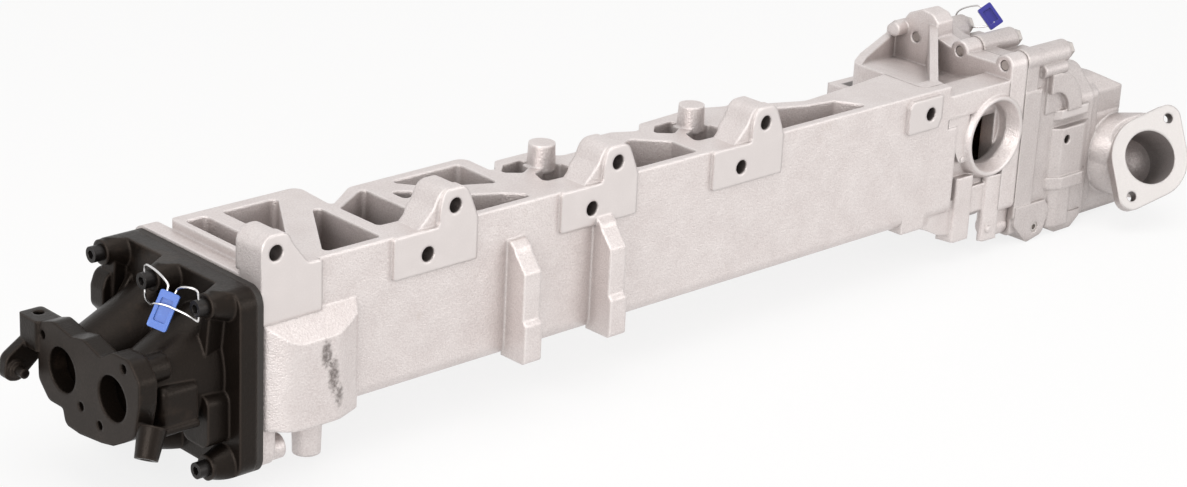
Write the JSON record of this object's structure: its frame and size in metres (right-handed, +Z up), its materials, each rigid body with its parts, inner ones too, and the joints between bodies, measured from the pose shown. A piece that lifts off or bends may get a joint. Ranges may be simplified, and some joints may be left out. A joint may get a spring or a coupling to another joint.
{
  "type": "exhaust gas recirculation cooler",
  "caption": "Long cast housing round a flat-tube gas core, with an iron two-port inlet manifold, a coolant port ring and a slanted two-bolt gas outlet",
  "frame": {"origin": "middle of the row of upper ear holes, on the plane of the machined mounting pads", "axes": "+X along the cooler from gas inlet to gas outlet, -Y out of the mounting pads, +Z up"},
  "size_m": [1.0896, 0.2089, 0.1897],
  "materials": {
    "cast_aluminium": "shot-blasted sand casting, matt silver grey",
    "cast_iron": "dark brown-black satin coat",
    "dark_steel": "blackened steel",
    "steel": "plain steel",
    "stainless": "heat-tinted brown stainless steel",
    "gasket": "dark coated gasket sheet",
    "plain_gasket": "thin metal gasket",
    "blue_plastic": "blue moulded plastic",
    "violet_plastic": "dark blue moulded plastic"
  },
  "bodies": {
    "root": {"cooler_housing": "cast_aluminium", "coolant_gasket": "gasket", "front_header_plate": "stainless", "inlet_gasket": "gasket", "inlet_manifold": "cast_iron", "inlet_screws": "dark_steel", "inlet_dowels": "steel", "gas_tubes": "stainless", "baffle_plates": "stainless", "rear_header_plate": "stainless", "gas_collector": "stainless", "expansion_bellows": "stainless", "bellows_flange": "stainless", "gas_seal_ring": "steel", "outlet_housing_gasket": "plain_gasket", "outlet_housing": "cast_aluminium", "outlet_housing_screws": "steel", "outlet_lower_screws": "steel", "outlet_dowels": "steel", "end_cover_gasket": "plain_gasket", "end_cover": "cast_aluminium", "end_cover_screws": "steel", "drain_plug": "dark_steel", "seal_wire_inlet": "steel", "seal_tag_inlet": "blue_plastic", "seal_wire_outlet": "steel", "seal_tag_outlet": "violet_plastic"}
  },
  "joints": []
}
